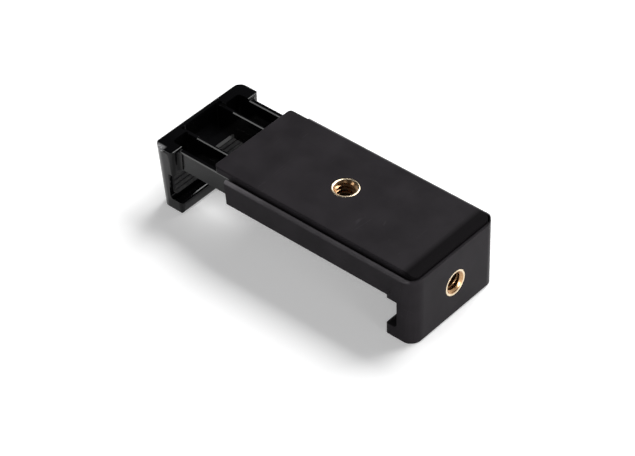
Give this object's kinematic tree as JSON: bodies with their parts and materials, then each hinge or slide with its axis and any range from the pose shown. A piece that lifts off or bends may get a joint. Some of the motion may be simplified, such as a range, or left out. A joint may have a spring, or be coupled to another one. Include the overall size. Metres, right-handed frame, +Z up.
{
  "type": "tripod phone mount adapter",
  "caption": "Sprung clamp that grips a phone between a fixed and a sliding jaw, with brass quarter inch tripod threads in its back and its end.",
  "frame": {"origin": "middle of the stored part's length and width, on the plane that the feet of the two lips stand on", "axes": "+X along the clamp towards the fixed jaw and its end thread, +Y across the body, +Z up out of the back plate and its thread"},
  "size_m": [0.0906, 0.0352, 0.0228],
  "materials": {
    "shell_plastic": "satin black moulded plastic",
    "slide_plastic": "glossy black moulded plastic",
    "insert_brass": "turned",
    "spring_steel": "drawn wire",
    "pin_steel": "ground",
    "screw_steel": "zinc plated",
    "pad_rubber": "matt"
  },
  "bodies": {
    "body": {"body_shell": "shell_plastic", "back_plate": "shell_plastic", "back_insert": "insert_brass", "end_insert": "insert_brass", "body_pin_near": "pin_steel", "body_pin_far": "pin_steel", "fixed_jaw_pad": "pad_rubber", "bed_pad": "pad_rubber", "cover_screw_mouth": "screw_steel", "cover_screw_middle": "screw_steel", "cover_screw_far": "screw_steel", "cover_screw_near": "screw_steel", "spring_near": "spring_steel", "spring_far": "spring_steel"},
    "slide": {"slide_jaw": "slide_plastic", "slide_pin_near": "pin_steel", "slide_pin_far": "pin_steel", "slide_jaw_pad": "pad_rubber"}
  },
  "joints": [
    {"name": "jaw_slide", "type": "slide", "parent": "body", "child": "slide", "axis": [-1, 0, 0], "range_m": [-0.0181, 0.0069], "stiffness_N_per_m": 250, "springref_m": -0.0301, "deforming": ["spring_near", "spring_far"]}
  ]
}
